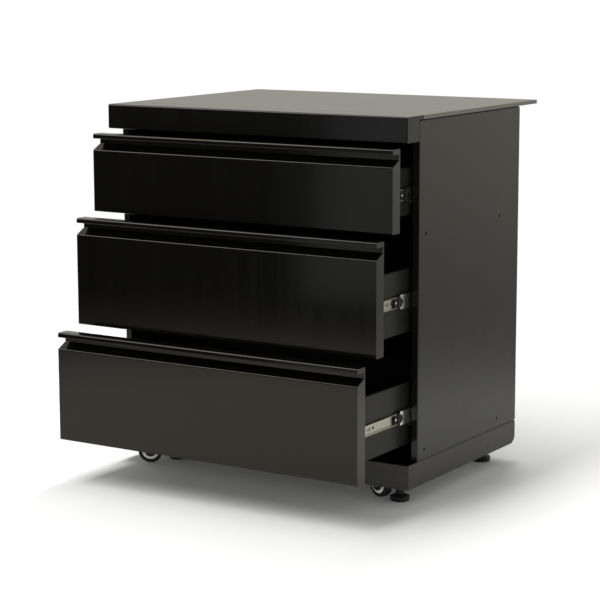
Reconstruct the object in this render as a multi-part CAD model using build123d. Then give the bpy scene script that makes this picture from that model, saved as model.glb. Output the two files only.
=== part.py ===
from build123d import *
import math
import os

# Free-standing drawer cabinet of folded black stainless sheet.
# Millimetres, +Z up, +X to the right seen from the front, front faces -Y.
# The model is drawn with y = 0 at the front edge of the side panels and is
# moved by Y_SHIFT at the end, so that the origin is the bottom centre of the
# whole cabinet as stored, with its drawers partly pulled out.

# ---------------------------------------------------------------- dimensions
HALF_W = 418.0            # half width over the side panels
PANEL_D = 510.3           # depth of the side panels
T = 1.2                   # carcass sheet
TT = 1.0                  # tray sheet
R_BEND = 2.2              # outside bend radius

Z_TOP = 900.0             # worktop surface
Z_EDGE = 890.4            # lower edge of the worktop's side edges
Z_PANEL_TOP = 887.8       # top of the side panels, a shadow gap below
Y_TOP_REAR = 606.6        # rear edge of the worktop
Y_FASCIA = -56.5          # front face of the fascia
Z_FASCIA = 840.7          # lower edge of the fascia
Y_TAB = 18.0              # seam between the fascia and the worktop

Z_DECK = 99.8             # base deck
Z_SKIRT = 41.7            # lower edge of the base skirt
Y_BASE = -41.7            # front face of the base
R_SKIRT = 22.0            # rounded rear corner of the side skirts
SEAM = 1.8                # open seam between the deck and the side panels

FRONT_HW = 416.8          # half width of a drawer front
FRONT_T = 33.0            # depth of a drawer front
GROOVE_D = 28.0           # depth of the finger groove
GROOVE_RISE = 14.5        # rise of the slanted face in the groove
LIP_H = 12.0              # height of the lip over the groove
LIP_LEAN = 0.55           # the lip leans back by this over its height
R_LIP = 4.5               # rolled front edge of the lip
R_PLATE = 3.5             # rolled upper edge of the plate
CLOSED = -41.7            # front face of a closed drawer

BOX_HW = 388.0            # half width of a tray
BOX_LEN = 462.0           # length of a tray

# name: plate bottom, plate top, lip top, tray bottom, tray top, slide height,
#       intermediate rail travel at rest, drawer travel on it at rest
DRAWERS = {
    "top": (643.3, 792.3, 832.2, 673.1, 781.4, 722.0, 47.0, 30.8),
    "middle": (375.1, 593.8, 634.1, 402.7, 549.9, 480.0, 72.0, 76.0),
    "bottom": (104.2, 326.6, 366.5, 138.1, 285.4, 209.6, 70.0, 158.2),
}

# slide section, right-hand side, x from the cabinet's centre plane
RAIL_OUT = 400.7          # mounting face of the cabinet rail
RAIL_Y0, RAIL_Y1 = 5.0, 465.0
MID_Y0, MID_LEN = 26.0, 425.0   # closed place and length of the intermediate rail
INNER_Y0, INNER_LEN = -4.0, 436.0

UPRIGHT_Y = ((40.0, 80.0), (420.0, 460.0))
SLIDE_SCREW_Y = (60.0, 440.0)   # screws that hold the cabinet rails
HOLE_R = 3.5              # joining holes in the side panels
HOLE_Y = (32.7, 405.4)
HOLE_Z = (124.6, 629.7)

# levelling feet (x, y) and casters (swivel x, y, trailing direction)
FEET = {
    "front_left": (-310.0, 67.0),
    "front_right": (365.5, 13.0),
    "rear_left": (-356.0, 447.0),
    "rear_right": (356.0, 447.0),
}
CASTERS = {
    "front_left": (-334.0, 1.8, -0.845, -0.535),
    "front_right": (302.2, 20.0, 0.940, -0.341),
    "rear_left": (-288.0, 440.0, 0.500, -0.866),
    "rear_right": (288.0, 440.0, -0.643, -0.766),
}
PAD_R = 23.3
STEM_R = 5.0
WHEEL_R = 31.0
WHEEL_W = 20.0
WHEEL_Z = WHEEL_R + 1.0   # the wheels hang a millimetre clear of the floor
TRAIL = 11.0
HUB_R = 22.0
PIN_R = 4.0
AXLE_R = 3.0
Z_CHANNEL = 86.4          # underside of the channels below the deck

Y_SHIFT = -(Y_TOP_REAR + CLOSED - DRAWERS["bottom"][6] - DRAWERS["bottom"][7]) / 2.0

nodes = {}


# ------------------------------------------------------------------- helpers
def ring(points, radii, to3d):
    """Closed wire through 2D points with a rounding radius at each corner."""
    n = len(points)
    ins, outs, mids = [], [], []
    for i in range(n):
        p = Vector(*points[i], 0)
        a = Vector(*points[i - 1], 0)
        b = Vector(*points[(i + 1) % n], 0)
        u = (a - p).normalized()
        v = (b - p).normalized()
        r = radii[i]
        if r <= 0:
            ins.append(p)
            outs.append(p)
            mids.append(None)
            continue
        half = math.acos(max(-1.0, min(1.0, u.dot(v)))) / 2.0
        k = r / math.tan(half)
        c = p + (u + v).normalized() * (r / math.sin(half))
        ins.append(p + u * k)
        outs.append(p + v * k)
        mids.append(c + (p - c).normalized() * r)
    edges = []
    for i in range(n):
        if mids[i] is not None:
            edges.append(Edge.make_three_point_arc(to3d(ins[i]), to3d(mids[i]), to3d(outs[i])))
        q = ins[(i + 1) % n]
        if (q - outs[i]).length > 1e-6:
            edges.append(Edge.make_line(to3d(outs[i]), to3d(q)))
    return Wire(edges)


def prism_x(points, x0, x1, radii=None):
    """Profile given as (y, z), from x0 to x1."""
    radii = radii or [0] * len(points)
    w = ring(points, radii, lambda p: Vector(x0, p.X, p.Y))
    return Solid.extrude(Face(w), Vector(x1 - x0, 0, 0))


def prism_y(points, y0, y1, radii=None):
    """Profile given as (x, z), from y0 to y1."""
    radii = radii or [0] * len(points)
    w = ring(points, radii, lambda p: Vector(p.X, y0, p.Y))
    return Solid.extrude(Face(w), Vector(0, y1 - y0, 0))


def prism_z(points, z0, z1, radii=None):
    """Profile given as (x, y), from z0 to z1."""
    radii = radii or [0] * len(points)
    w = ring(points, radii, lambda p: Vector(p.X, p.Y, z0))
    return Solid.extrude(Face(w), Vector(0, 0, z1 - z0))


def strip(path, t, r):
    """Outline of a folded strip: path on one face, thickness t to its left."""
    n = len(path)
    other = []
    ra, rb = [], []
    for i in range(n):
        p = Vector(*path[i], 0)
        if i == 0:
            d = (Vector(*path[1], 0) - p).normalized()
            other.append(p + Vector(-d.Y, d.X, 0) * t)
            ra.append(0)
            rb.append(0)
            continue
        if i == n - 1:
            d = (p - Vector(*path[i - 1], 0)).normalized()
            other.append(p + Vector(-d.Y, d.X, 0) * t)
            ra.append(0)
            rb.append(0)
            continue
        d0 = (p - Vector(*path[i - 1], 0)).normalized()
        d1 = (Vector(*path[i + 1], 0) - p).normalized()
        n0 = Vector(-d0.Y, d0.X, 0)
        n1 = Vector(-d1.Y, d1.X, 0)
        m = (n0 + n1).normalized()
        other.append(p + m * (t / m.dot(n0)))
        left = d0.X * d1.Y - d0.Y * d1.X > 0
        ra.append(r if left else r - t)
        rb.append(r - t if left else r)
    pts = [tuple(q) for q in path] + [(q.X, q.Y) for q in reversed(other)]
    return pts, ra + list(reversed(rb))


def block(x0, x1, y0, y1, z0, z1):
    return Solid.make_box(x1 - x0, y1 - y0, z1 - z0, Plane((x0, y0, z0)))


def rod(x, y, z0, z1, r):
    return Solid.make_cylinder(r, z1 - z0, Plane((x, y, z0)))


def rod_x(x0, x1, y, z, r):
    return Solid.make_cylinder(r, x1 - x0, Plane((x0, y, z), z_dir=(1, 0, 0)))


def rod_y(y0, y1, x, z, r):
    return Solid.make_cylinder(r, y1 - y0, Plane((x, y0, z), z_dir=(0, 1, 0)))


def cone_x(x0, x1, y, z, r0, r1):
    """Cone from radius r0 at x0 to r1 at x1."""
    d = 1.0 if x1 > x0 else -1.0
    return Solid.make_cone(r0, r1, abs(x1 - x0), Plane((x0, y, z), z_dir=(d, 0, 0)))


def hexagon(x, y, z0, z1, r):
    return prism_z([(x + r * math.cos(math.radians(a)), y + r * math.sin(math.radians(a))) for a in range(0, 360, 60)], z0, z1)


def cut(a, *tools):
    for t in tools:
        a = a - t
    return a


def join(*shapes):
    a = shapes[0]
    for s in shapes[1:]:
        a = a + s
    return a.clean()


def mirror_x(s):
    return s.mirror(Plane.YZ)


def turned(profile, x, y):
    """Solid of revolution about a vertical axis, profile as (r, z)."""
    edges = []
    for i in range(len(profile)):
        a, b = profile[i], profile[(i + 1) % len(profile)]
        edges.append(Edge.make_line((a[0], 0, a[1]), (b[0], 0, b[1])))
    s = Solid.revolve(Face(Wire(edges)), 360, Axis.Z)
    return s.moved(Location((x, y, 0)))


def add(name, *solids):
    nodes[name] = list(solids)


# --------------------------------------------------------------- side panels
pts, rad = strip(
    [(RAIL_OUT, 12.0), (RAIL_OUT, 0.0), (HALF_W, 0.0), (HALF_W, PANEL_D), (RAIL_OUT, PANEL_D)], T, R_BEND
)
panel = prism_z(pts, Z_DECK + SEAM, Z_PANEL_TOP, rad)
# angle along the inside of the lower edge, which stands on the deck
panel = join(panel, block(HALF_W - 2 * T, HALF_W - T, 20.0, 500.0, Z_DECK, Z_DECK + 3.6), block(RAIL_OUT + 2.0, HALF_W - 2 * T + 0.2, 20.0, 500.0, Z_DECK, Z_DECK + T))
BACK_SCREWS = [(x, z) for x in (-409.0, 409.0) for z in (130.0, 275.0, 420.0, 565.0, 710.0, 860.0)]
for y in HOLE_Y:
    for z in HOLE_Z:
        panel = cut(panel, rod_x(HALF_W - 4, HALF_W + 4, y, z, HOLE_R))
for x, z in BACK_SCREWS:
    if x > 0:
        panel = cut(panel, rod_y(PANEL_D - 6, PANEL_D + 3, x, z, 2.2))
add("right_side_panel", panel)
add("left_side_panel", mirror_x(panel))

# ---------------------------------------------------------------- back panel
back = block(-414.5, 414.5, PANEL_D, PANEL_D + T, 103.0, 886.0)
for x, z in BACK_SCREWS:
    back = cut(back, rod_y(PANEL_D - 6, PANEL_D + 6, x, z, 2.2))
# two shallow pressed fields with sloped rims stiffen the sheet
for z0, z1 in ((150.0, 475.0), (515.0, 840.0)):
    lo, hi = 8.0, 3.0
    outer = Solid.make_loft([
        Wire.make_polygon([(-370, PANEL_D + T, z0), (370, PANEL_D + T, z0), (370, PANEL_D + T, z1), (-370, PANEL_D + T, z1)]),
        Wire.make_polygon([(-362, PANEL_D + T + hi, z0 + lo), (362, PANEL_D + T + hi, z0 + lo), (362, PANEL_D + T + hi, z1 - lo), (-362, PANEL_D + T + hi, z1 - lo)]),
    ], True)
    inner = Solid.make_loft([
        Wire.make_polygon([(-370, PANEL_D, z0), (370, PANEL_D, z0), (370, PANEL_D, z1), (-370, PANEL_D, z1)]),
        Wire.make_polygon([(-362, PANEL_D + hi, z0 + lo), (362, PANEL_D + hi, z0 + lo), (362, PANEL_D + hi, z1 - lo), (-362, PANEL_D + hi, z1 - lo)]),
    ], True)
    back = cut(join(back, outer), inner)
add("back_panel", back)

# ------------------------------------------------------------------ base pan
pan = prism_x(
    [(Y_BASE, Z_SKIRT), (PANEL_D, Z_SKIRT), (PANEL_D, Z_DECK), (Y_BASE, Z_DECK)],
    -HALF_W, HALF_W, [0, R_SKIRT, 5.0, 0],
)
rim = [e for e in pan.edges()
       if (abs(e.center().Z - Z_DECK) < 0.01 and (abs(abs(e.center().X) - HALF_W) < 0.01 or abs(e.center().Y - Y_BASE) < 0.01))
       or (abs(e.center().Y - Y_BASE) < 0.01 and abs(abs(e.center().X) - HALF_W) < 0.01)]
pan = pan.fillet(2.0, rim)
pan = cut(pan, block(-HALF_W + T, HALF_W - T, Y_BASE + T, PANEL_D - T, 0, Z_DECK - T))
pan = cut(pan, block(-HALF_W + T, HALF_W - T, PANEL_D - 30, PANEL_D + 5, 0, 88.0))
add("base_pan", pan)

# channels under the deck that carry the casters and feet
channels = []
for y0, y1 in ((-34.0, 96.0), (396.0, 492.0)):
    pts, rad = strip([(y0, Z_DECK - T), (y0, Z_CHANNEL), (y1, Z_CHANNEL), (y1, Z_DECK - T)], T, R_BEND)
    ch = prism_x(pts, -412.0, 412.0, rad)
    channels.append(ch)
for name, (fx, fy) in FEET.items():
    k = 0 if name.startswith("front") else 1
    channels[k] = cut(channels[k], rod(fx, fy, 80, 95, 9.2))
BOLT = [(sx * 19.0, sy * 15.0) for sx in (-1, 1) for sy in (-1, 1)]
for name, (cx, cy, dx, dy) in CASTERS.items():
    k = 0 if name.startswith("front") else 1
    channels[k] = cut(channels[k], rod(cx, cy, 80, 95, 7.0))
    for bx, by in BOLT:
        channels[k] = cut(channels[k], rod(cx + bx, cy + by, 80, 95, 3.1))
add("base_channels", *channels)

# --------------------------------------------------------- fascia and worktop
# the fascia is a folded nose: top flange, rolled front edge, front, bottom return, and a plate at each end
nose = prism_x(
    [(Y_FASCIA, Z_FASCIA), (-0.4, Z_FASCIA), (-0.4, Z_EDGE), (Y_TAB - 0.35, Z_EDGE), (Y_TAB - 0.35, Z_TOP), (Y_FASCIA, Z_TOP)],
    -HALF_W, HALF_W, [R_BEND, 0, 0, 0, 0.6, 5.0],
)
ends = [e for e in nose.edges()
        if abs(abs(e.center().X) - HALF_W) < 0.01 and (e.center().Z > Z_TOP - 3.0 or e.center().Y < Y_FASCIA + 3.0)
        and e.center().Y < Y_TAB - 3.0]
nose = nose.fillet(1.8, ends)
nose = cut(nose, prism_x(
    [(Y_FASCIA + T, Z_FASCIA + T), (Y_FASCIA + 14.0, Z_FASCIA + T), (Y_FASCIA + 14.0, Z_FASCIA - 2.0), (30.0, Z_FASCIA - 2.0),
     (30.0, Z_TOP - T), (Y_FASCIA + T, Z_TOP - T)],
    -HALF_W + T, HALF_W - T, [R_BEND - T, 0, 0, 0, 0, 5.0 - T],
))
add("fascia", nose)

top = block(-HALF_W, HALF_W, Y_TAB + 0.35, Y_TOP_REAR, Z_EDGE, Z_TOP)
upper = [e for e in top.edges()
         if (abs(e.center().Z - Z_TOP) < 0.01 and e.center().Y > Y_TAB + 2.0)
         or (abs(e.center().Y - Y_TOP_REAR) < 0.01 and abs(abs(e.center().X) - HALF_W) < 0.01)]
top = top.fillet(2.2, upper)
top = cut(top, block(-HALF_W + T, HALF_W - T, Y_TAB + 0.35 + T, Y_TOP_REAR - T, Z_EDGE - 5, Z_TOP - T))
add("worktop", top)

# folded channels under the top: front and rear rails between the sides, and stiffeners
chans = []
for y0, y1, zb, hw in ((13.0, 36.0, 862.0, HALF_W - T - 0.1), (470.0, 505.0, 862.0, HALF_W - T - 0.1),
                       (150.0, 200.0, 874.0, 412.0), (325.0, 375.0, 874.0, 412.0), (545.0, 590.0, 892.0, 400.0)):
    pts, rad = strip([(y0, Z_TOP - T), (y0, zb), (y1, zb), (y1, Z_TOP - T)], T, R_BEND)
    chans.append(prism_x(pts, -hw, hw, rad))
add("top_channels", *chans)

# uprights that carry the slides
ups = []
for y0, y1 in UPRIGHT_Y:
    pts, rad = strip([(HALF_W - T, y1), (RAIL_OUT, y1), (RAIL_OUT, y0), (HALF_W - T, y0)], T, R_BEND)
    u = prism_z(pts, Z_DECK + 4.0, 856.0, rad)
    for d in DRAWERS.values():
        u = cut(u, rod_x(RAIL_OUT - 1, RAIL_OUT + 3, (y0 + y1) / 2.0, d[5], 2.5))
    ups += [u, mirror_x(u)]
add("slide_uprights", *ups)

# -------------------------------------------------------------------- slides
Z_OUT, Z_MID, Z_IN = 22.85, 17.6, 12.5


def cabinet_rail(zc):
    pts, rad = strip([(390.8, zc - Z_OUT), (RAIL_OUT, zc - Z_OUT), (RAIL_OUT, zc + Z_OUT), (390.8, zc + Z_OUT)], T, R_BEND)
    s = prism_y(pts, RAIL_Y0, RAIL_Y1, rad)
    for y in SLIDE_SCREW_Y:
        s = cut(s, cone_x(RAIL_OUT - T, RAIL_OUT, y, zc, 4.05, 2.55))
    return s


def cabinet_rail_screw(y, zc):
    return join(cone_x(RAIL_OUT - T + 0.05, RAIL_OUT, y, zc, 3.95, 2.45), rod_x(RAIL_OUT - 0.4, RAIL_OUT + 6.0, y, zc, 2.4))


def mid_rail(zc, y0):
    pts, rad = strip([(391.2, zc - Z_MID), (397.2, zc - Z_MID), (397.2, zc + Z_MID), (391.2, zc + Z_MID)], T, R_BEND)
    s = prism_y(pts, y0, y0 + MID_LEN, rad)
    # half-round notch in the front end, and access holes along the web
    s = cut(s, rod_x(392, 400, y0, zc, 10.6))
    for k in (60.0, 150.0, 300.0):
        s = cut(s, rod_x(392, 400, y0 + k, zc, 5.5))
    return s


def bumper(zc, y0):
    """Black end stop clipped to the front of the intermediate rail."""
    body = prism_y(
        [(390.4, zc - 10.9), (394.2, zc - 10.9), (394.2, zc + 10.9), (390.4, zc + 10.9)], y0 - 21.5, y0 - 2.0,
        [1.0, 1.0, 1.0, 1.0],
    )
    neck = block(393.0, 395.4, y0 - 8.0, y0 - 2.5, zc - 9.5, zc + 9.5)
    clip = block(394.8, 396.0, y0 - 8.0, y0 + 8.0, zc - 14.0, zc + 14.0)
    s = join(body, neck, clip)
    # shallow round seat for the rivet head, and its hole
    s = cut(s, rod_x(393.6, 396.5, y0 - 15.8, zc, 4.4), rod_x(388, 396.5, y0 - 15.8, zc, 2.1))
    return s


def bumper_rivet(zc, y0):
    """Domed steel rivet in the end stop."""
    head = rod_x(393.6, 395.5, y0 - 15.8, zc, 3.3)
    head = head.fillet(1.7, [e for e in head.edges() if abs(e.center().X - 395.5) < 0.01])
    return join(head, rod_x(390.6, 394.0, y0 - 15.8, zc, 2.0))


def slot_x(x0, x1, y, z, half_y, half_z):
    """Round-ended slot through a wall that faces X."""
    if half_y > half_z:
        k = half_y - half_z
        return join(block(x0, x1, y - k, y + k, z - half_z, z + half_z), rod_x(x0, x1, y - k, z, half_z), rod_x(x0, x1, y + k, z, half_z))
    k = half_z - half_y
    return join(block(x0, x1, y - half_y, y + half_y, z - k, z + k), rod_x(x0, x1, y, z - k, half_y), rod_x(x0, x1, y, z + k, half_y))


def drawer_rail(zc, y0):
    pts, rad = strip([(394.2, zc + Z_IN), (BOX_HW, zc + Z_IN), (BOX_HW, zc - Z_IN), (394.2, zc - Z_IN)], T, R_BEND)
    s = prism_y(pts, y0, y0 + INNER_LEN, rad)
    # round hole, upright slot and level slot near the front
    s = cut(s, rod_x(386, 390.5, y0 + 51.0, zc, 2.4), slot_x(386, 390.5, y0 + 61.0, zc, 2.2, 4.7), slot_x(386, 390.5, y0 + 77.0, zc, 4.5, 2.6))
    return s


def inner_cage(zc, y0, length=120.0):
    pts, rad = strip([(391.2, zc - 15.7), (395.6, zc - 15.7), (395.6, zc + 15.7), (391.2, zc + 15.7)], 0.8, 1.2)
    s = prism_y(pts, y0, y0 + length, rad)
    s = join(s, block(391.2, 395.2, y0, y0 + length, zc - 15.7, zc - 13.3), block(391.2, 395.2, y0, y0 + length, zc + 13.3, zc + 15.7))
    balls = []
    for sz in (-1, 1):
        for k in (8.0, 34.0, 60.0, 86.0, 112.0):
            c = (392.9, y0 + k, zc + sz * 14.45)
            s = cut(s, rod(c[0], c[1], c[2] - 2, c[2] + 2, 2.0))
            balls.append(Solid.make_sphere(1.75, Plane(c)))
    return [s] + balls


def outer_cage(zc, y0, length=120.0):
    s = block(397.9, 398.7, y0, y0 + length, zc - 20.8, zc + 20.8)
    s = join(s, block(392.4, 398.4, y0, y0 + length, zc - 20.8, zc - 18.4), block(392.4, 398.4, y0, y0 + length, zc + 18.4, zc + 20.8))
    balls = []
    for sz in (-1, 1):
        for k in (8.0, 34.0, 60.0, 86.0, 112.0):
            c = (394.7, y0 + k, zc + sz * 19.62)
            s = cut(s, rod(c[0], c[1], c[2] - 2, c[2] + 2, 2.05))
            balls.append(Solid.make_sphere(1.8, Plane(c)))
    return [s] + balls


def both(solids):
    return list(solids) + [mirror_x(s) for s in solids]


# ------------------------------------------------------------------- drawers
def front_outline(zb, zt, zl, y0):
    return [
        (y0, zb), (y0 + FRONT_T, zb), (y0 + FRONT_T, zl), (y0 + LIP_LEAN, zl), (y0, zl - LIP_H),
        (y0 + GROOVE_D, zl - LIP_H), (y0 + GROOVE_D, zt + GROOVE_RISE), (y0, zt),
    ]


def inset(points, t, skip):
    """Outline moved inwards by t, except the edges in skip, which move outwards by 2."""
    n = len(points)
    area = sum(points[i][0] * points[(i + 1) % n][1] - points[(i + 1) % n][0] * points[i][1] for i in range(n))
    sgn = 1.0 if area > 0 else -1.0
    lines = []
    for i in range(n):
        ax, ay = points[i]
        bx, by = points[(i + 1) % n]
        ln = math.hypot(bx - ax, by - ay)
        nx, ny = -(by - ay) / ln * sgn, (bx - ax) / ln * sgn
        d = -2.0 if i in skip else t
        lines.append((ax + nx * d, ay + ny * d, bx - ax, by - ay))
    res = []
    for i in range(n):
        x1, y1, u1, v1 = lines[i - 1]
        x2, y2, u2, v2 = lines[i]
        den = u1 * v2 - v1 * u2
        k = ((x2 - x1) * v2 - (y2 - y1) * u2) / den
        res.append((x1 + u1 * k, y1 + v1 * k))
    return res


cabinet_rails = []
bolts = []
for name, (zb, zt, zl, tb, tt, zc, m_rest, d_rest) in DRAWERS.items():
    y0 = CLOSED - m_rest - d_rest            # front face as stored
    yb = y0 + FRONT_T                        # rear face of the front
    outline = front_outline(zb, zt, zl, y0)
    shell = prism_x(outline, -FRONT_HW, FRONT_HW, [R_BEND, 0, 0, R_LIP, R_BEND, 0.8, 1.0, R_PLATE])
    void = prism_x(inset(outline, T, {1}), -FRONT_HW + T, FRONT_HW - T, [0, 0, 0, R_LIP - T, 0, 0, 0, R_PLATE - T])
    add(name + "_drawer_front", cut(shell, void))

    add(name + "_front_backing", block(-FRONT_HW + T + 0.25, FRONT_HW - T - 0.25, yb - T, yb, zb + T + 0.25, zl - T - 0.25))

    # folded tray with an inward rim along its sides and back
    tray = block(-BOX_HW, BOX_HW, yb, yb + BOX_LEN, tb, tt)
    corner = [e for e in tray.edges() if abs(abs(e.center().X) - BOX_HW) < 0.01 and abs(e.center().Z - tb) < 0.01]
    tray = tray.fillet(R_BEND, corner)
    tray = cut(
        tray,
        block(-BOX_HW + TT, BOX_HW - TT, yb + TT, yb + BOX_LEN - TT, tb + TT, tt - TT),
        block(-BOX_HW + 9.0, BOX_HW - 9.0, yb + TT, yb + BOX_LEN - 9.0, tb + TT, tt + 5),
    )
    ry = INNER_Y0 - m_rest - d_rest
    add(name + "_drawer_tray", tray)

    add(name + "_drawer_rails", *both([drawer_rail(zc, ry)]))
    my = MID_Y0 - m_rest
    cabinet_rails += both([cabinet_rail(zc)])
    for y in SLIDE_SCREW_Y:
        bolts += both([cabinet_rail_screw(y, zc)])
    add(name + "_slide_mid_rails", *both([mid_rail(zc, my), bumper_rivet(zc, my)]))
    add(name + "_slide_bumpers", *both([bumper(zc, my)]))
    add(name + "_inner_ball_cages", *both(inner_cage(zc, my + 112.0 - d_rest / 2.0)))
    add(name + "_outer_ball_cages", *both(outer_cage(zc, RAIL_Y0 + 112.0 - m_rest / 2.0)))

add("cabinet_slide_rails", *cabinet_rails)

# ------------------------------------------------------------------- casters
plates = []
for name, (cx, cy, dx, dy) in CASTERS.items():
    plate = block(cx - 27, cx + 27, cy - 22.5, cy + 22.5, Z_CHANNEL - 2.5, Z_CHANNEL)
    plate = plate.fillet(5.0, [e for e in plate.edges() if abs(e.tangent_at(0.5).Z) > 0.9])
    plate = join(plate, rod(cx, cy, 80.4, Z_CHANNEL, 15.0))
    plate = cut(plate, rod(cx, cy, 78, 90, PIN_R + 0.06))
    for bx, by in BOLT:
        plate = cut(plate, rod(cx + bx, cy + by, 78, 90, 3.1))
        head = hexagon(cx + bx, cy + by, Z_CHANNEL - 5.7, Z_CHANNEL - 2.5, 4.6)
        nut = hexagon(cx + bx, cy + by, Z_CHANNEL + T, Z_CHANNEL + T + 3.4, 4.8)
        bolts.append(join(head, rod(cx + bx, cy + by, Z_CHANNEL - 3.0, Z_CHANNEL + T + 4.4, 2.95), nut))
    plates.append(plate)

    # fork in its own frame: swivel at the origin, wheel trailing along +X
    hw = WHEEL_W / 2.0
    legs = []
    for s in (-1, 1):
        ya, yb_ = sorted((s * (hw + 1.6), s * (hw + 4.0)))
        web = prism_y(
            [(-13.5, 78.0), (13.5, 78.0), (TRAIL + 14.4, WHEEL_Z + 3.0), (TRAIL - 14.4, WHEEL_Z + 3.0)], ya, yb_,
        )
        eye = rod_y(ya, yb_, TRAIL, WHEEL_Z, 14.8)
        legs.append(join(web, eye))
    crown = join(
        block(-15.5, 15.5, -hw - 4.0, hw + 4.0, 74.0, 78.0),
        rod(0, 0, 74.0, 80.0, 14.0),
        rod(0, 0, 76.0, 91.0, PIN_R),
    )
    fork = join(crown, *legs)
    fork = cut(fork, rod_y(-30, 30, TRAIL, WHEEL_Z, AXLE_R + 0.03))
    axle = join(
        rod_y(-hw - 5.6, hw + 5.6, TRAIL, WHEEL_Z, AXLE_R),
        rod_y(-hw - 5.8, -hw - 4.0, TRAIL, WHEEL_Z, 5.6),
        rod_y(hw + 4.0, hw + 5.8, TRAIL, WHEEL_Z, 5.6),
    )
    hub = rod_y(-hw + 0.4, hw - 0.4, TRAIL, WHEEL_Z, HUB_R)
    hub = hub.chamfer(0.6, None, hub.edges().filter_by(GeomType.CIRCLE))
    for s in (-1, 1):
        a, c = sorted((s * (hw - 3.0), s * (hw + 2)))
        hub = cut(hub, cut(rod_y(a, c, TRAIL, WHEEL_Z, 15.2), rod_y(a, c, TRAIL, WHEEL_Z, 8.0)))
    hub = cut(hub, rod_y(-30, 30, TRAIL, WHEEL_Z, AXLE_R + 0.06))
    tyre = rod_y(-hw, hw, TRAIL, WHEEL_Z, WHEEL_R)
    tyre = tyre.fillet(3.6, tyre.edges())
    tyre = cut(tyre, rod_y(-30, 30, TRAIL, WHEEL_Z, HUB_R))
    place = Location((cx, cy, 0), (0, 0, math.degrees(math.atan2(dy, dx))))
    add(name + "_caster_fork", fork.moved(place), axle.moved(place))
    add(name + "_caster_hub", hub.moved(place))
    add(name + "_caster_tyre", tyre.moved(place))
add("caster_plates", *plates)

# ---------------------------------------------------------------------- feet
sleeves = []
for name, (fx, fy) in FEET.items():
    sl = join(rod(fx, fy, 70.0, 95.6, 9.0), rod(fx, fy, 83.4, Z_CHANNEL, 13.0))
    sleeves.append(cut(sl, rod(fx, fy, 60, 99, STEM_R + 0.05)))
    pad = turned(
        [(0, 0), (20.6, 0), (21.9, 0.7), (22.5, 2.0), (22.5, 3.9), (21.9, 5.0), (21.2, 5.5), (21.2, 6.0), (22.4, 6.6), (23.1, 7.7),
         (PAD_R, 8.9), (PAD_R, 10.2), (22.8, 11.5), (21.4, 12.7), (18.4, 14.2), (14.4, 15.6), (11.4, 16.8), (10.2, 18.2),
         (9.8, 22.0), (STEM_R, 22.0), (STEM_R, 10.0), (0, 10.0)], fx, fy)
    add(name + "_foot_pad", pad)
    stem = join(rod(fx, fy, 10.0, 94.0, STEM_R), prism_z(
        [(fx + 8.6 * math.cos(math.radians(a)), fy + 8.6 * math.sin(math.radians(a))) for a in range(30, 390, 60)], 22.0, 28.5))
    stem = stem.chamfer(1.0, None, [e for e in stem.edges() if abs(e.center().Z - 94.0) < 0.01])
    add(name + "_foot_stem", stem)
add("foot_sleeves", *sleeves)

# --------------------------------------------------------------------- screws
for x, z in BACK_SCREWS:
    head = rod_y(PANEL_D + T, PANEL_D + T + 2.4, x, z, 4.0)
    head = head.fillet(1.4, [e for e in head.edges() if abs(e.center().Y - (PANEL_D + T + 2.4)) < 0.01])
    screw = join(head, rod_y(PANEL_D - 5.0, PANEL_D + T + 1.0, x, z, 2.0))
    y = PANEL_D + T + 1.3
    bolts.append(cut(screw, block(x - 2.3, x + 2.3, y, y + 3, z - 0.45, z + 0.45), block(x - 0.45, x + 0.45, y, y + 3, z - 2.3, z + 2.3)))
add("cabinet_screws", *bolts)

# --------------------------------------------------------------------- export
os.makedirs("parts", exist_ok=True)
shift = Location((0, Y_SHIFT, 0))
for name, solids in nodes.items():
    flat = []
    for s in solids:
        flat += list(s.solids())
    moved = [s.moved(shift) for s in flat]
    shape = moved[0] if len(moved) == 1 else Compound(children=moved)
    shape.label = name
    export_step(shape, "parts/" + name + ".step")
print(len(nodes), "nodes, y shift", Y_SHIFT)
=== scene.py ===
import bpy, bmesh, math
from mathutils import Matrix, Vector


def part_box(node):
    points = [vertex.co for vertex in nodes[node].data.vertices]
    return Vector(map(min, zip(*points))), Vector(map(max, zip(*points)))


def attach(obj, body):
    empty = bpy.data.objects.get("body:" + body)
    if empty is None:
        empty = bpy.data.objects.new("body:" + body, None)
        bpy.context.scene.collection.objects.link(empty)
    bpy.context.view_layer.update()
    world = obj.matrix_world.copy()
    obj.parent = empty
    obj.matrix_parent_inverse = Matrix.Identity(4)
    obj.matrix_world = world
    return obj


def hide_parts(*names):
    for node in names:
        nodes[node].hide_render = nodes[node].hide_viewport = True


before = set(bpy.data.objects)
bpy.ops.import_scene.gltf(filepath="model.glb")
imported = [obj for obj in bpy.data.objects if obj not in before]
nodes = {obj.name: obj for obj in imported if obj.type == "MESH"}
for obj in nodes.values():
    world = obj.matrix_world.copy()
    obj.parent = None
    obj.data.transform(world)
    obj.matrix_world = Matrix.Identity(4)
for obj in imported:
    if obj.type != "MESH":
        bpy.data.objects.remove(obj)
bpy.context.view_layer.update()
scene = bpy.context.scene

Y0 = -0.16835          # side-panel front plane in the shared frame

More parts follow.
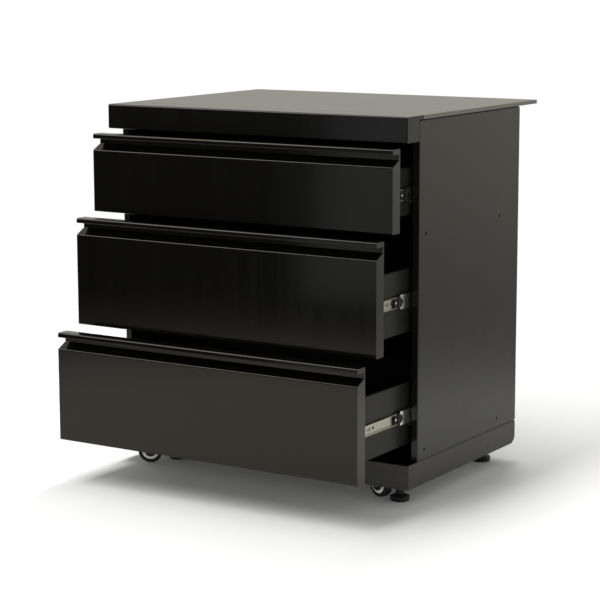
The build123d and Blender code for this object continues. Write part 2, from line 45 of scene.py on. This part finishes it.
# ------------------------------------------------------------------- camera
yaw, pitch, roll = math.radians(32.276), math.radians(-9.698), math.radians(-0.147)
fw = Vector((-math.sin(yaw) * math.cos(pitch), math.cos(yaw) * math.cos(pitch), math.sin(pitch)))
rt = Vector((math.cos(yaw), math.sin(yaw), 0.0))
up = rt.cross(fw)
rt2 = rt * math.cos(roll) + up * math.sin(roll)
up2 = up * math.cos(roll) - rt * math.sin(roll)
cam = bpy.data.cameras.new("camera")
cam.lens = 118.34
cam.sensor_width = 36.0
cam.sensor_fit = "HORIZONTAL"
cam.clip_start = 0.05
cam.clip_end = 60.0
cam_ob = bpy.data.objects.new("camera", cam)
scene.collection.objects.link(cam_ob)
m = Matrix((
    (rt2.x, up2.x, -fw.x, 2.5531),
    (rt2.y, up2.y, -fw.y, -3.8857 + Y0),
    (rt2.z, up2.z, -fw.z, 1.2377),
    (0, 0, 0, 1),
))
cam_ob.matrix_world = m
scene.camera = cam_ob
scene.view_settings.view_transform = "Standard"
scene.view_settings.look = "None"
scene.view_settings.exposure = 0.0
scene.view_settings.gamma = 1.0


# ---------------------------------------------------------------- materials
class Tree:
    """Small helper around one material's node tree."""

    def __init__(self, name):
        self.mat = bpy.data.materials.new(name)
        self.mat.use_nodes = True
        self.t = self.mat.node_tree
        self.t.nodes.clear()
        self.out = self.t.nodes.new("ShaderNodeOutputMaterial")
        self.bsdf = self.t.nodes.new("ShaderNodeBsdfPrincipled")
        self.t.links.new(self.bsdf.outputs[0], self.out.inputs["Surface"])
        self.co = self.t.nodes.new("ShaderNodeTexCoord")

    def link(self, a, b):
        self.t.links.new(a, b)

    def noise(self, scale, stretch=(1, 1, 1), detail=3.0, rough=0.55, offset=(0, 0, 0)):
        mp = self.t.nodes.new("ShaderNodeMapping")
        mp.inputs["Scale"].default_value = stretch
        mp.inputs["Location"].default_value = offset
        self.link(self.co.outputs["Object"], mp.inputs["Vector"])
        n = self.t.nodes.new("ShaderNodeTexNoise")
        n.inputs["Scale"].default_value = scale
        n.inputs["Detail"].default_value = detail
        n.inputs["Roughness"].default_value = rough
        self.link(mp.outputs[0], n.inputs["Vector"])
        return n.outputs["Fac"]

    def ramp(self, fac, stops):
        r = self.t.nodes.new("ShaderNodeValToRGB")
        e = r.color_ramp.elements
        while len(e) > 1:
            e.remove(e[-1])
        e[0].position, e[0].color = stops[0][0], (*stops[0][1], 1)
        for p, c in stops[1:]:
            el = e.new(p)
            el.color = (*c, 1)
        self.link(fac, r.inputs["Fac"])
        return r.outputs["Color"]

    def span(self, fac, a, b, lo, hi):
        n = self.t.nodes.new("ShaderNodeMapRange")
        n.inputs["From Min"].default_value = a
        n.inputs["From Max"].default_value = b
        n.inputs["To Min"].default_value = lo
        n.inputs["To Max"].default_value = hi
        n.clamp = True
        self.link(fac, n.inputs["Value"])
        return n.outputs["Result"]

    def math(self, op, a, b):
        n = self.t.nodes.new("ShaderNodeMath")
        n.operation = op
        for i, v in enumerate((a, b)):
            if isinstance(v, (int, float)):
                n.inputs[i].default_value = v
            else:
                self.link(v, n.inputs[i])
        return n.outputs[0]

    def mix(self, fac, a, b):
        n = self.t.nodes.new("ShaderNodeMix")
        n.data_type = "RGBA"
        self.link(fac, n.inputs["Factor"])
        for key, v in (("A", a), ("B", b)):
            sock = [s for s in n.inputs if s.name == key and s.type == "RGBA"][0]
            if isinstance(v, tuple):
                sock.default_value = (*v, 1)
            else:
                self.link(v, sock)
        return [s for s in n.outputs if s.type == "RGBA"][0]

    def bump(self, height, strength, distance, normal=None):
        n = self.t.nodes.new("ShaderNodeBump")
        n.inputs["Strength"].default_value = strength
        n.inputs["Distance"].default_value = distance
        self.link(height, n.inputs["Height"])
        if normal is not None:
            self.link(normal, n.inputs["Normal"])
        return n.outputs["Normal"]

    def set(self, **kw):
        names = {"color": "Base Color", "rough": "Roughness", "metal": "Metallic", "spec": "Specular IOR Level",
                 "normal": "Normal", "coat": "Coat Weight", "coat_rough": "Coat Roughness", "ior": "IOR",
                 "aniso": "Anisotropic", "tint": "Specular Tint"}
        for k, v in kw.items():
            s = self.bsdf.inputs[names[k]]
            if isinstance(v, (int, float)):
                s.default_value = v
            elif isinstance(v, tuple):
                s.default_value = (*v, 1)
            else:
                self.link(v, s)
        return self.mat


def black_steel(name, across, dark, light, r_lo, r_hi, bump=0.05, spec=0.4, tint=(1.0, 0.955, 0.83), ior=1.5, smear=0.02):
    """Black brushed stainless. across holds the noise scale along each axis: fine across the brush, long along it."""
    t = Tree(name)
    fine = t.noise(1.0, across, 3.0, 0.6)
    lines = t.noise(1.0, tuple(s * 0.16 if s > 20 else s * 0.25 for s in across), 4.0, 0.65, (1.3, 0.2, 2.4))
    band = t.noise(1.0, tuple(s * 0.03 if s > 20 else s * 0.12 for s in across), 3.0, 0.55, (3.1, 1.7, 0.4))
    smudge = t.noise(4.0, (1, 1, 1), 4.0, 0.6, (0.3, 0.9, 0.2))
    tone = t.math("ADD", t.math("MULTIPLY", fine, 0.35), t.math("ADD", t.math("MULTIPLY", lines, 0.35), t.math("MULTIPLY", band, 0.3)))
    col = t.ramp(tone, [(0.36, dark), (0.64, light)])
    rough = t.math("ADD", t.span(tone, 0.36, 0.64, r_lo, r_hi), t.span(smudge, 0.35, 0.7, -0.4 * smear, smear))
    nrm = t.bump(lines, bump * 0.6, 0.00012, t.bump(fine, bump, 0.00006))
    return t.set(color=col, rough=rough, metal=0.0, spec=spec, normal=nrm, tint=tint, ior=ior)


VERT = (1500.0, 1500.0, 2.0)      # brush lines along Z
ALONG = (1.6, 1500.0, 1500.0)     # brush lines along X
DEEP = (1500.0, 2.0, 1500.0)      # brush lines along Y

mat_front = black_steel("black_stainless_front", VERT, (0.0009, 0.0009, 0.0007), (0.0025, 0.0024, 0.0020), 0.07, 0.12, 0.04, 0.405)
mat_fascia = black_steel("black_stainless_fascia", VERT, (0.0012, 0.0012, 0.0011), (0.0030, 0.0029, 0.0027), 0.08, 0.14, 0.04, 0.36, (1.0, 0.97, 0.9))
mat_side = black_steel("black_stainless_side", VERT, (0.0030, 0.0030, 0.0026), (0.0066, 0.0066, 0.0056), 0.17, 0.26, 0.05, 0.40, (1.0, 1.0, 0.9))
mat_top = black_steel("black_stainless_top", ALONG, (0.0034, 0.0033, 0.0029), (0.0062, 0.0060, 0.0053), 0.22, 0.28, 0.008, 0.5, (1.0, 0.975, 0.89), 2.2, 0.01)
mat_base = black_steel("black_stainless_base", ALONG, (0.026, 0.0256, 0.0235), (0.041, 0.0405, 0.0372), 0.26, 0.36, 0.05, 0.24, (1.0, 0.97, 0.88))
mat_end = black_steel("black_stainless_end", VERT, (0.0030, 0.0030, 0.0026), (0.0066, 0.0066, 0.0056), 0.14, 0.22, 0.05, 0.52, (1.0, 1.0, 0.9))
mat_inner = black_steel("dark_sheet", ALONG, (0.004, 0.004, 0.0037), (0.008, 0.008, 0.0075), 0.28, 0.40, 0.03, 0.35)
# the deck sheet is darker and duller than the base: painted shade for the places that sit in shade
mat_deck_painted_shade = black_steel("deck_sheet_painted_shade", ALONG, (0.0016, 0.0016, 0.0014), (0.0034, 0.0034, 0.0031), 0.40, 0.55, 0.03, 0.10)
mat_tray = black_steel("tray_sheet", DEEP, (0.008, 0.008, 0.0074), (0.015, 0.015, 0.0138), 0.30, 0.40, 0.04, 0.15, (1.0, 1.0, 0.88))


def plated(name, dark, light, r_lo, r_hi, stretch=DEEP, cloud_scale=60.0):
    t = Tree(name)
    draw = t.noise(1.0, stretch, 3.0, 0.6)
    cloud = t.noise(cloud_scale, (1, 1, 1), 3.0, 0.6)
    f = t.math("ADD", t.math("MULTIPLY", draw, 0.6), t.math("MULTIPLY", cloud, 0.4))
    col = t.ramp(f, [(0.3, dark), (0.7, light)])
    rough = t.span(f, 0.3, 0.7, r_lo, r_hi)
    nrm = t.bump(draw, 0.06, 0.0001)
    return t.set(color=col, rough=rough, metal=1.0, normal=nrm)


mat_chrome = plated("slide_chrome", (0.66, 0.66, 0.65), (0.86, 0.86, 0.84), 0.12, 0.22)
mat_zinc = plated("slide_zinc", (0.36, 0.355, 0.30), (0.49, 0.485, 0.415), 0.26, 0.40)
mat_hard = plated("zinc_hardware", (0.34, 0.34, 0.33), (0.55, 0.55, 0.53), 0.25, 0.40, (90, 90, 90))


def moulded(name, dark, light, r_lo, r_hi, grain=900.0, bump=0.12, spec=0.5):
    t = Tree(name)
    g = t.noise(grain, (1, 1, 1), 2.0, 0.5)
    c = t.noise(35.0, (1, 1, 1), 3.0, 0.6)
    col = t.ramp(c, [(0.3, dark), (0.7, light)])
    rough = t.span(g, 0.3, 0.7, r_lo, r_hi)
    nrm = t.bump(g, bump, 0.0002)
    return t.set(color=col, rough=rough, metal=0.0, normal=nrm, spec=spec)


mat_plastic = moulded("black_plastic", (0.004, 0.004, 0.004), (0.008, 0.008, 0.008), 0.45, 0.6, 900.0, 0.12, 0.3)
mat_fork = moulded("black_paint", (0.006, 0.006, 0.006), (0.011, 0.011, 0.011), 0.26, 0.4, 700.0, 0.05, 0.4)
mat_hub = moulded("white_hub", (0.70, 0.70, 0.68), (0.80, 0.80, 0.78), 0.35, 0.5)
mat_tyre = moulded("rubber_tyre", (0.008, 0.008, 0.008), (0.016, 0.016, 0.0155), 0.55, 0.75, 600.0, 0.25, 0.35)
mat_foot = moulded("foot_pad", (0.006, 0.006, 0.006), (0.012, 0.012, 0.012), 0.34, 0.52, 900.0, 0.12, 0.4)
mat_stem = moulded("black_oxide_stem", (0.008, 0.008, 0.0075), (0.020, 0.020, 0.019), 0.30, 0.45, 500.0, 0.08, 0.5)

pick = {}
for n in nodes:
    if n.endswith("_caster_tyre"): pick[n] = mat_tyre
    elif n.endswith("_caster_hub"): pick[n] = mat_hub
    elif n.endswith("_caster_fork"): pick[n] = mat_fork
    elif n.endswith("_foot_pad"): pick[n] = mat_foot
    elif n.endswith("_foot_stem"): pick[n] = mat_stem
    elif n.endswith("_drawer_screws") or n in ("foot_sleeves", "caster_plates", "cabinet_screws"): pick[n] = mat_hard
    elif n.endswith("_slide_mid_rails") or n == "cabinet_slide_rails": pick[n] = mat_chrome
    elif n.endswith("_drawer_rails"): pick[n] = mat_zinc
    elif n.endswith("_slide_bumpers") or n.endswith("_ball_cages"): pick[n] = mat_plastic
    elif n.endswith("_drawer_tray"): pick[n] = mat_tray
    elif n.endswith("_drawer_front"): pick[n] = mat_front
    elif n.endswith("_front_backing") or n in ("top_channels", "slide_uprights", "base_channels"): pick[n] = mat_inner
    elif n == "fascia": pick[n] = mat_fascia
    elif n == "worktop": pick[n] = mat_top
    elif n == "base_pan": pick[n] = mat_base
    else: pick[n] = mat_side
for n, ob in nodes.items():
    ob.data.materials.clear()
    ob.data.materials.append(pick[n])


def small_solids(ob, limit, mat):
    """Give the separate solids of a node that are no taller than limit a second finish."""
    me = ob.data
    root = {}

    def find(k):
        while root.setdefault(k, k) != k:
            root[k] = root[root[k]]
            k = root[k]
        return k

    place = [tuple(round(c, 6) for c in v.co) for v in me.vertices]
    for p in me.polygons:
        a = find(place[p.vertices[0]])
        for i in p.vertices[1:]:
            b = find(place[i])
            if a != b:
                root[b] = a
    zs = {}
    for k in set(place):
        zs.setdefault(find(k), []).append(k[2])
    small = {r for r, v in zs.items() if max(v) - min(v) <= limit}
    me.materials.append(mat)
    for p in me.polygons:
        if find(place[p.vertices[0]]) in small:
            p.material_index = 1


for n, ob in nodes.items():
    if n.endswith("_drawer_front"):
        # the folded ends of a front have the satin finish of the sides
        ob.data.materials.append(mat_end)
        for p in ob.data.polygons:
            if abs(p.normal.x) > 0.9:
                p.material_index = 1
    elif n == "fascia":
        # its top flange continues the worktop's finish
        ob.data.materials.append(mat_top)
        for p in ob.data.polygons:
            if p.normal.z > 0.9:
                p.material_index = 1
    elif n == "base_pan":
        # the deck gets a darker, duller sheet: painted shade on the deck inside the base and where it shows in the
        # seams under the side panels
        ob.data.materials.append(mat_deck_painted_shade)
        for p in ob.data.polygons:
            if p.normal.z > 0.9:
                p.material_index = 1
    elif n in ("left_side_panel", "right_side_panel"):
        # so do the inner angle, the cut edges in the seam and the walls of the joining holes: painted shade in the
        # seam and the holes
        ob.data.materials.append(mat_deck_painted_shade)
        for p in ob.data.polygons:
            vs = [ob.data.vertices[i].co for i in p.vertices]
            hole = any(all(math.hypot(v.y - hy, v.z - hz) < 0.0037 for v in vs) for hy in (-0.13565, 0.23705) for hz in (0.1246, 0.6297))
            if hole or max(v.z for v in vs) < 0.1036:
                p.material_index = 1
    elif n.endswith("_ball_cages"):
        small_solids(ob, 0.006, mat_chrome)      # the balls
    elif n.endswith("_caster_fork"):
        small_solids(ob, 0.020, mat_hard)        # the axle rivet


# ------------------------------------------------------- threaded foot stems
def thread_stem(name, cx, cy, z_nut, z_nut_top, z_end, r_out, pitch, depth, nut_r):
    """Stem with a helical thread, a chamfered end and a hexagon with chamfered corners."""
    bm = bmesh.new()
    seg, per = 24, 6
    rows = int((z_end - z_nut_top) / pitch * per)
    rings = []

    def ring(z, radius):
        rings.append([bm.verts.new((cx + radius(a) * math.cos(a), cy + radius(a) * math.sin(a), z))
                      for a in (2 * math.pi * k / seg for k in range(seg))])

    for r in range(rows + 1):
        z = z_nut_top + (z_end - z_nut_top) * r / rows
        lead = min(1.0, (z - z_nut_top) / pitch)
        tip = min(1.0, (z_end - z) / 0.0012)

        def radius(a, z=z, lead=lead, tip=tip):
            f = (z / pitch - a / (2 * math.pi)) % 1.0
            f = abs(2 * f - 1)
            f = min(1.0, max(0.0, (f - 0.12) / 0.76))
            return r_out - depth * (lead * f + (1 - lead)) - (1 - tip) * 0.0008

        ring(z, radius)
    for a, b in zip(rings, rings[1:]):
        for k in range(seg):
            bm.faces.new((a[k], a[(k + 1) % seg], b[(k + 1) % seg], b[k]))
    bm.faces.new(list(reversed(rings[0])))
    bm.faces.new(rings[-1])
    # plain shank down into the pad
    lo = []
    for z, rr in ((z_nut - 0.0118, r_out - 0.0006), (z_nut - 0.011, r_out - 0.0001), (z_nut + 0.0005, r_out - 0.0001)):
        lo.append([bm.verts.new((cx + rr * math.cos(2 * math.pi * k / seg), cy + rr * math.sin(2 * math.pi * k / seg), z)) for k in range(seg)])
    for a, b in zip(lo, lo[1:]):
        for k in range(seg):
            bm.faces.new((a[k], a[(k + 1) % seg], b[(k + 1) % seg], b[k]))
    bm.faces.new(list(reversed(lo[0])))
    bm.faces.new(lo[-1])
    # hexagon: corners cut back towards both faces, as a turned chamfer leaves them
    n = 48
    flat = nut_r * math.cos(math.pi / 6)
    h = z_nut_top - z_nut
    hexr = []
    for z, lim in ((z_nut, flat * 0.97), (z_nut + 0.0009, nut_r), (z_nut + h * 0.5, nut_r), (z_nut_top - 0.0009, nut_r), (z_nut_top, flat * 0.97)):
        row = []
        for k in range(n):
            a = 2 * math.pi * k / n
            b = (a - math.pi / 6) % (math.pi / 3) - math.pi / 6
            row.append(bm.verts.new((cx + min(lim, flat / math.cos(b)) * math.cos(a), cy + min(lim, flat / math.cos(b)) * math.sin(a), z)))
        hexr.append(row)
    for a, b in zip(hexr, hexr[1:]):
        for k in range(n):
            bm.faces.new((a[k], a[(k + 1) % n], b[(k + 1) % n], b[k]))
    bm.faces.new(list(reversed(hexr[0])))
    bm.faces.new(hexr[-1])
    me = bpy.data.meshes.new(name)
    bm.normal_update()
    bm.to_mesh(me)
    bm.free()
    ob = bpy.data.objects.new(name, me)
    scene.collection.objects.link(ob)
    me.materials.append(mat_stem)
    return ob


for key in ("front_left", "front_right", "rear_left", "rear_right"):
    lo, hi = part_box(key + "_foot_stem")
    st = thread_stem(key + "_threaded_stem", (lo[0] + hi[0]) / 2, (lo[1] + hi[1]) / 2, 0.022, 0.0285, 0.094, 0.005, 0.0015, 0.0008, 0.0086)
    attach(st, key + "_foot")
    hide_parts(key + "_foot_stem")

# ------------------------------------------- foam seals under the worktop: dark strips that close the gap and paint its shade
def seal(name, x0, x1, y0, y1, z0, z1):
    """Dark foam strip with rolled long edges that closes the shadow gap between a side panel and the worktop; its
    black is painted shade for the gap.
    """
    bm = bmesh.new()
    bmesh.ops.create_cube(bm, size=1.0)
    for v in bm.verts:
        v.co = ((x0 + x1) / 2 + v.co.x * (x1 - x0), (y0 + y1) / 2 + v.co.y * (y1 - y0), (z0 + z1) / 2 + v.co.z * (z1 - z0))
    bmesh.ops.bevel(bm, geom=[e for e in bm.edges if abs(e.verts[0].co.y - e.verts[1].co.y) > 0.1], offset=0.0008, segments=3, affect="EDGES", profile=0.5)
    me = bpy.data.meshes.new(name)
    bm.normal_update()
    bm.to_mesh(me)
    bm.free()
    ob = bpy.data.objects.new(name, me)
    scene.collection.objects.link(ob)
    me.materials.append(mat_gap_shade_foam)
    return ob


# the foam is near black: painted shade for the gap it closes
mat_gap_shade_foam = moulded("gap_shade_foam_seal", (0.003, 0.003, 0.003), (0.007, 0.007, 0.007), 0.80, 0.95, 1400.0, 0.3, 0.1)
side_lo, side_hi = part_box("right_side_panel")
for key, sx in (("left", -1), ("right", 1)):
    xa, xb = sorted((sx * (side_hi[0] - 0.0075), sx * (side_hi[0] - 0.0030)))
    strip_ob = seal(key + "_worktop_gap_shade_seal", xa, xb, side_lo[1] + 0.014, side_hi[1] - 0.003, side_hi[2] - 0.0035, side_hi[2] + 0.0050)
    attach(strip_ob, "cabinet")

# ---------------------------------------------------------------- the stage
bm = bmesh.new()
bmesh.ops.create_grid(bm, x_segments=8, y_segments=8, size=4.5)
me = bpy.data.meshes.new("floor")
bm.to_mesh(me)
bm.free()
floor = bpy.data.objects.new("floor", me)
floor.location = (0.0, 0.25, -0.0002)
scene.collection.objects.link(floor)
ft = Tree("floor_pale")
fn = ft.noise(2.0, (1, 1, 1), 2.0)
pale = ft.ramp(fn, [(0.3, (0.84, 0.84, 0.835)), (0.7, (0.86, 0.86, 0.855))])
path = ft.t.nodes.new("ShaderNodeLightPath")
# in what the polished sheet mirrors, the sweep is greyer and darkens further out: painted shade for the floor's light
# falling off
# the floor sheet ends softly: in front at a line, elsewhere in a wide round
sep = ft.t.nodes.new("ShaderNodeSeparateXYZ")
ft.link(ft.co.outputs["Object"], sep.inputs[0])
oval = ft.t.nodes.new("ShaderNodeMapping")
oval.inputs["Location"].default_value = (0.0, 0.45, 0.0)
oval.inputs["Scale"].default_value = (0.85, 0.8, 1.0)
ft.link(ft.co.outputs["Object"], oval.inputs["Vector"])
ln = ft.t.nodes.new("ShaderNodeVectorMath")
ln.operation = "LENGTH"
ft.link(oval.outputs[0], ln.inputs[0])
front = ft.span(sep.outputs["Y"], -3.1, -2.05, 0.0, 1.0)
wide = ft.span(ln.outputs["Value"], 1.45, 2.5, 1.0, 0.0)
# painted shade: the mirrored floor goes from 0.68 near the cabinet to 0.36 further out
mirrored_floor_shade = ft.ramp(ft.span(ln.outputs["Value"], 1.15, 1.8, 0.0, 1.0), [(0.0, (0.68, 0.67, 0.65)), (1.0, (0.36, 0.355, 0.34))])
ft.set(color=ft.mix(path.outputs["Is Glossy Ray"], pale, mirrored_floor_shade), rough=0.9, spec=0.05)
clear = ft.t.nodes.new("ShaderNodeBsdfTransparent")
blend = ft.t.nodes.new("ShaderNodeMixShader")
ft.link(ft.math("MULTIPLY", front, wide), blend.inputs[0])
ft.link(clear.outputs[0], blend.inputs[1])
ft.link(ft.bsdf.outputs[0], blend.inputs[2])
ft.link(blend.outputs[0], ft.out.inputs["Surface"])
floor.data.materials.append(ft.mat)

# studio surround: white behind for the camera, an even dome for soft light, and a
# dark room in front with a bright sweep behind for what the polished sheet mirrors
world = bpy.data.worlds.new("studio")
scene.world = world
world.use_nodes = True
wt = world.node_tree
wt.nodes.clear()
wo = wt.nodes.new("ShaderNodeOutputWorld")
lp = wt.nodes.new("ShaderNodeLightPath")
tc = wt.nodes.new("ShaderNodeTexCoord")
sx = wt.nodes.new("ShaderNodeSeparateXYZ")
wt.links.new(tc.outputs["Generated"], sx.inputs[0])
mr = wt.nodes.new("ShaderNodeMapRange")
mr.interpolation_type = "SMOOTHSTEP"
mr.inputs["From Min"].default_value = -0.45
mr.inputs["From Max"].default_value = 0.35
mr.inputs["To Min"].default_value = 0.06
mr.inputs["To Max"].default_value = 0.66
wt.links.new(sx.outputs["Y"], mr.inputs["Value"])


def backdrop(color, strength):
    b = wt.nodes.new("ShaderNodeBackground")
    b.inputs["Color"].default_value = (*color, 1)
    b.inputs["Strength"].default_value = strength
    return b


env = backdrop((1.0, 0.965, 0.875), 0.7)
low = wt.nodes.new("ShaderNodeMapRange")
low.interpolation_type = "SMOOTHSTEP"
low.inputs["From Min"].default_value = -0.22
low.inputs["From Max"].default_value = 0.0
low.inputs["To Min"].default_value = 0.52
low.inputs["To Max"].default_value = 1.0
wt.links.new(sx.outputs["Z"], low.inputs["Value"])
dip = wt.nodes.new("ShaderNodeMapRange")
dip.interpolation_type = "SMOOTHSTEP"
dip.inputs["From Min"].default_value = -0.155
dip.inputs["From Max"].default_value = -0.128
dip.inputs["To Min"].default_value = 0.76
dip.inputs["To Max"].default_value = 1.0
wt.links.new(sx.outputs["Z"], dip.inputs["Value"])
lows = wt.nodes.new("ShaderNodeMath")
lows.operation = "MULTIPLY"
wt.links.new(low.outputs["Result"], lows.inputs[0])
wt.links.new(dip.outputs["Result"], lows.inputs[1])
both = wt.nodes.new("ShaderNodeMath")
both.operation = "MULTIPLY"
wt.links.new(mr.outputs["Result"], both.inputs[0])
wt.links.new(lows.outputs[0], both.inputs[1])
right = wt.nodes.new("ShaderNodeMapRange")
right.interpolation_type = "SMOOTHSTEP"
right.inputs["From Min"].default_value = -0.5
right.inputs["From Max"].default_value = 0.5
right.inputs["To Min"].default_value = 0.93
right.inputs["To Max"].default_value = 1.22
wt.links.new(sx.outputs["X"], right.inputs["Value"])
room = wt.nodes.new("ShaderNodeMath")
room.operation = "MULTIPLY"
wt.links.new(both.outputs[0], room.inputs[0])
wt.links.new(right.outputs["Result"], room.inputs[1])
wt.links.new(room.outputs[0], env.inputs["Strength"])
dome = backdrop((1.0, 1.0, 0.99), 0.5)
sky = wt.nodes.new("ShaderNodeMapRange")
sky.interpolation_type = "SMOOTHSTEP"
sky.inputs["From Min"].default_value = 0.0
sky.inputs["From Max"].default_value = 0.55
sky.inputs["To Min"].default_value = 2.3
sky.inputs["To Max"].default_value = 0.32
wt.links.new(sx.outputs["Z"], sky.inputs["Value"])
wt.links.new(sky.outputs["Result"], dome.inputs["Strength"])
white = backdrop((1.0, 1.0, 1.0), 1.02)
mix_a = wt.nodes.new("ShaderNodeMixShader")
wt.links.new(lp.outputs["Is Glossy Ray"], mix_a.inputs[0])
wt.links.new(dome.outputs[0], mix_a.inputs[1])
wt.links.new(env.outputs[0], mix_a.inputs[2])
mix_b = wt.nodes.new("ShaderNodeMixShader")
wt.links.new(lp.outputs["Is Camera Ray"], mix_b.inputs[0])
wt.links.new(mix_a.outputs[0], mix_b.inputs[1])
wt.links.new(white.outputs[0], mix_b.inputs[2])
wt.links.new(mix_b.outputs[0], wo.inputs["Surface"])


def area(name, loc, target, size, power, color=(1, 1, 1), size_y=None):
    d = bpy.data.lights.new(name, "AREA")
    d.energy = power
    d.color = color
    d.shape = "RECTANGLE" if size_y else "SQUARE"
    d.size = size
    if size_y:
        d.size_y = size_y
    o = bpy.data.objects.new(name, d)
    o.location = loc
    o.rotation_euler = (Vector(target) - Vector(loc)).to_track_quat("-Z", "Y").to_euler()
    o.visible_camera = False
    scene.collection.objects.link(o)
    return o


area("key", (-0.75, -1.2, 5.5), (-0.75, -1.2, 0.0), 1.2, 450.0, (1.0, 0.995, 0.985), 11.0)
# a dim, cool strip behind the camera that the upper drawer fronts mirror on their right
area("strip", (-2.15, -4.6, 0.175), (-2.15, 0.0, 0.175), 0.6, 1.0, (0.86, 0.97, 1.0), 1.05)
# a panel high on the left that only the rolled edges of the sheet catch
edge = area("edge_panel", (-2.2, -1.45, 3.6), (0.0, -0.3, 0.6), 2.4, 70.0, (1.0, 0.99, 0.96), 2.4)
edge.visible_diffuse = False
